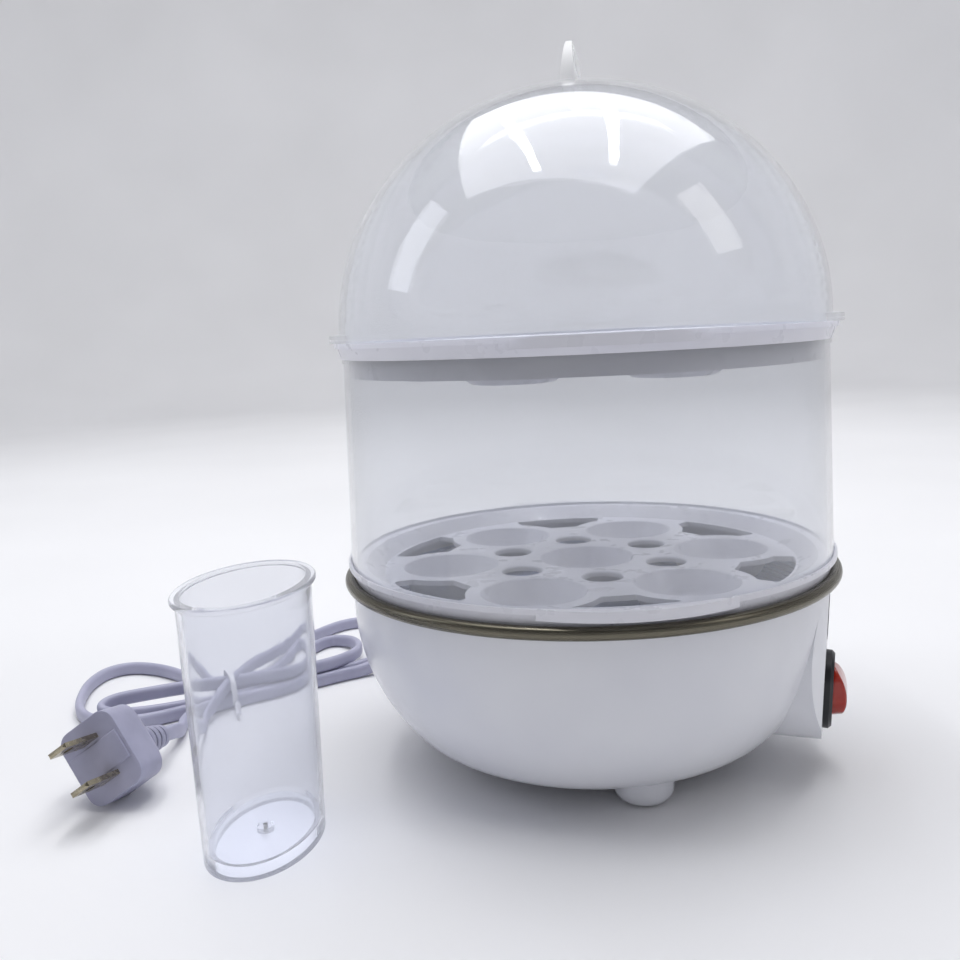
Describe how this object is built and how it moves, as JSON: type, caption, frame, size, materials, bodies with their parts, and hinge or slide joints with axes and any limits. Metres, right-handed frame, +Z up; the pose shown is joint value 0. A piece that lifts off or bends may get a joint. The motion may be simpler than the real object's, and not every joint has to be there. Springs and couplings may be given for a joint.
{
  "type": "egg cooker",
  "caption": "Two-tier electric egg steamer with a bowl base, a rocker switch, clear ring and dome lid, a measuring cup, and a cord with a plug.",
  "frame": {"origin": "on the cooker's axis, at the level of its three feet's flat bottoms", "axes": "+Z up along the cooker's axis, +X towards the rocker switch, +Y to the left of someone facing +X"},
  "size_m": [0.2908, 0.2146, 0.2181],
  "materials": {
    "white_gloss_plastic": "gloss",
    "clear_plastic": "gloss",
    "stainless_steel": "satin",
    "aluminium": "satin",
    "element_steel": "matte",
    "zinc_steel": "satin",
    "phenolic": "matte",
    "black_plastic": "satin",
    "red_clear_plastic": "gloss",
    "brass": "satin",
    "lamp_glass": "gloss",
    "grey_vinyl": "satin",
    "grey_vinyl_hank": "satin",
    "white_tie": "satin"
  },
  "bodies": {
    "base": {"base_shell": "white_gloss_plastic", "bottom_cover": "white_gloss_plastic", "cover_screws": "zinc_steel", "heating_dish": "stainless_steel", "heat_spreader": "aluminium", "heating_element": "element_steel", "heater_bracket": "zinc_steel", "stud_nut": "zinc_steel", "thermostat": "phenolic", "thermal_fuse": "zinc_steel", "fuse_clip": "zinc_steel", "switch_housing": "black_plastic", "switch_terminals": "brass", "neon_lamp": "lamp_glass", "cord_gland": "grey_vinyl", "cord_lead": "grey_vinyl", "cord_hank": "grey_vinyl_hank", "cord_tail": "grey_vinyl", "twist_tie": "white_tie", "plug_body": "grey_vinyl", "plug_blades": "brass"},
    "rocker": {"switch_rocker": "red_clear_plastic", "rocker_plunger": "phenolic", "plunger_spring": "zinc_steel"},
    "contact_lever": {"contact_lever": "brass"},
    "lower_tray": {"lower_tray": "white_gloss_plastic"},
    "steam_ring": {"steam_ring": "clear_plastic"},
    "upper_tray": {"upper_tray": "white_gloss_plastic"},
    "lid": {"lid_dome": "clear_plastic", "lid_handle": "clear_plastic"},
    "measuring_cup": {"measuring_cup": "clear_plastic", "piercing_pin": "stainless_steel"}
  },
  "joints": [
    {"name": "rocker_tilt", "type": "hinge", "parent": "base", "child": "rocker", "pos_m": [0.0731, 0, 0.02398], "axis": [0, 1, 0], "range_deg": [0, 24]},
    {"name": "lever_tilt", "type": "hinge", "parent": "base", "child": "contact_lever", "pos_m": [0.06351, 0, 0.0244], "axis": [0, 1, 0], "range_deg": [-14.1, 0]},
    {"name": "lower_tray_lift", "type": "slide", "parent": "base", "child": "lower_tray", "axis": [0, 0, 1], "range_m": [0, 0.03]},
    {"name": "steam_ring_lift", "type": "slide", "parent": "lower_tray", "child": "steam_ring", "axis": [0, 0, 1], "range_m": [0, 0.02]},
    {"name": "upper_tray_lift", "type": "slide", "parent": "steam_ring", "child": "upper_tray", "axis": [0, 0, 1], "range_m": [0, 0.025]},
    {"name": "lid_lift", "type": "slide", "parent": "upper_tray", "child": "lid", "axis": [0, 0, 1], "range_m": [0, 0.03]},
    {"name": "measuring_cup_lift", "type": "slide", "parent": "base", "child": "measuring_cup", "axis": [0, 0, 1], "range_m": [0, 0.06]}
  ],
  "couplings": [
    {"joint": "lever_tilt", "follows": "rocker_tilt", "ratio": -0.5833}
  ]
}
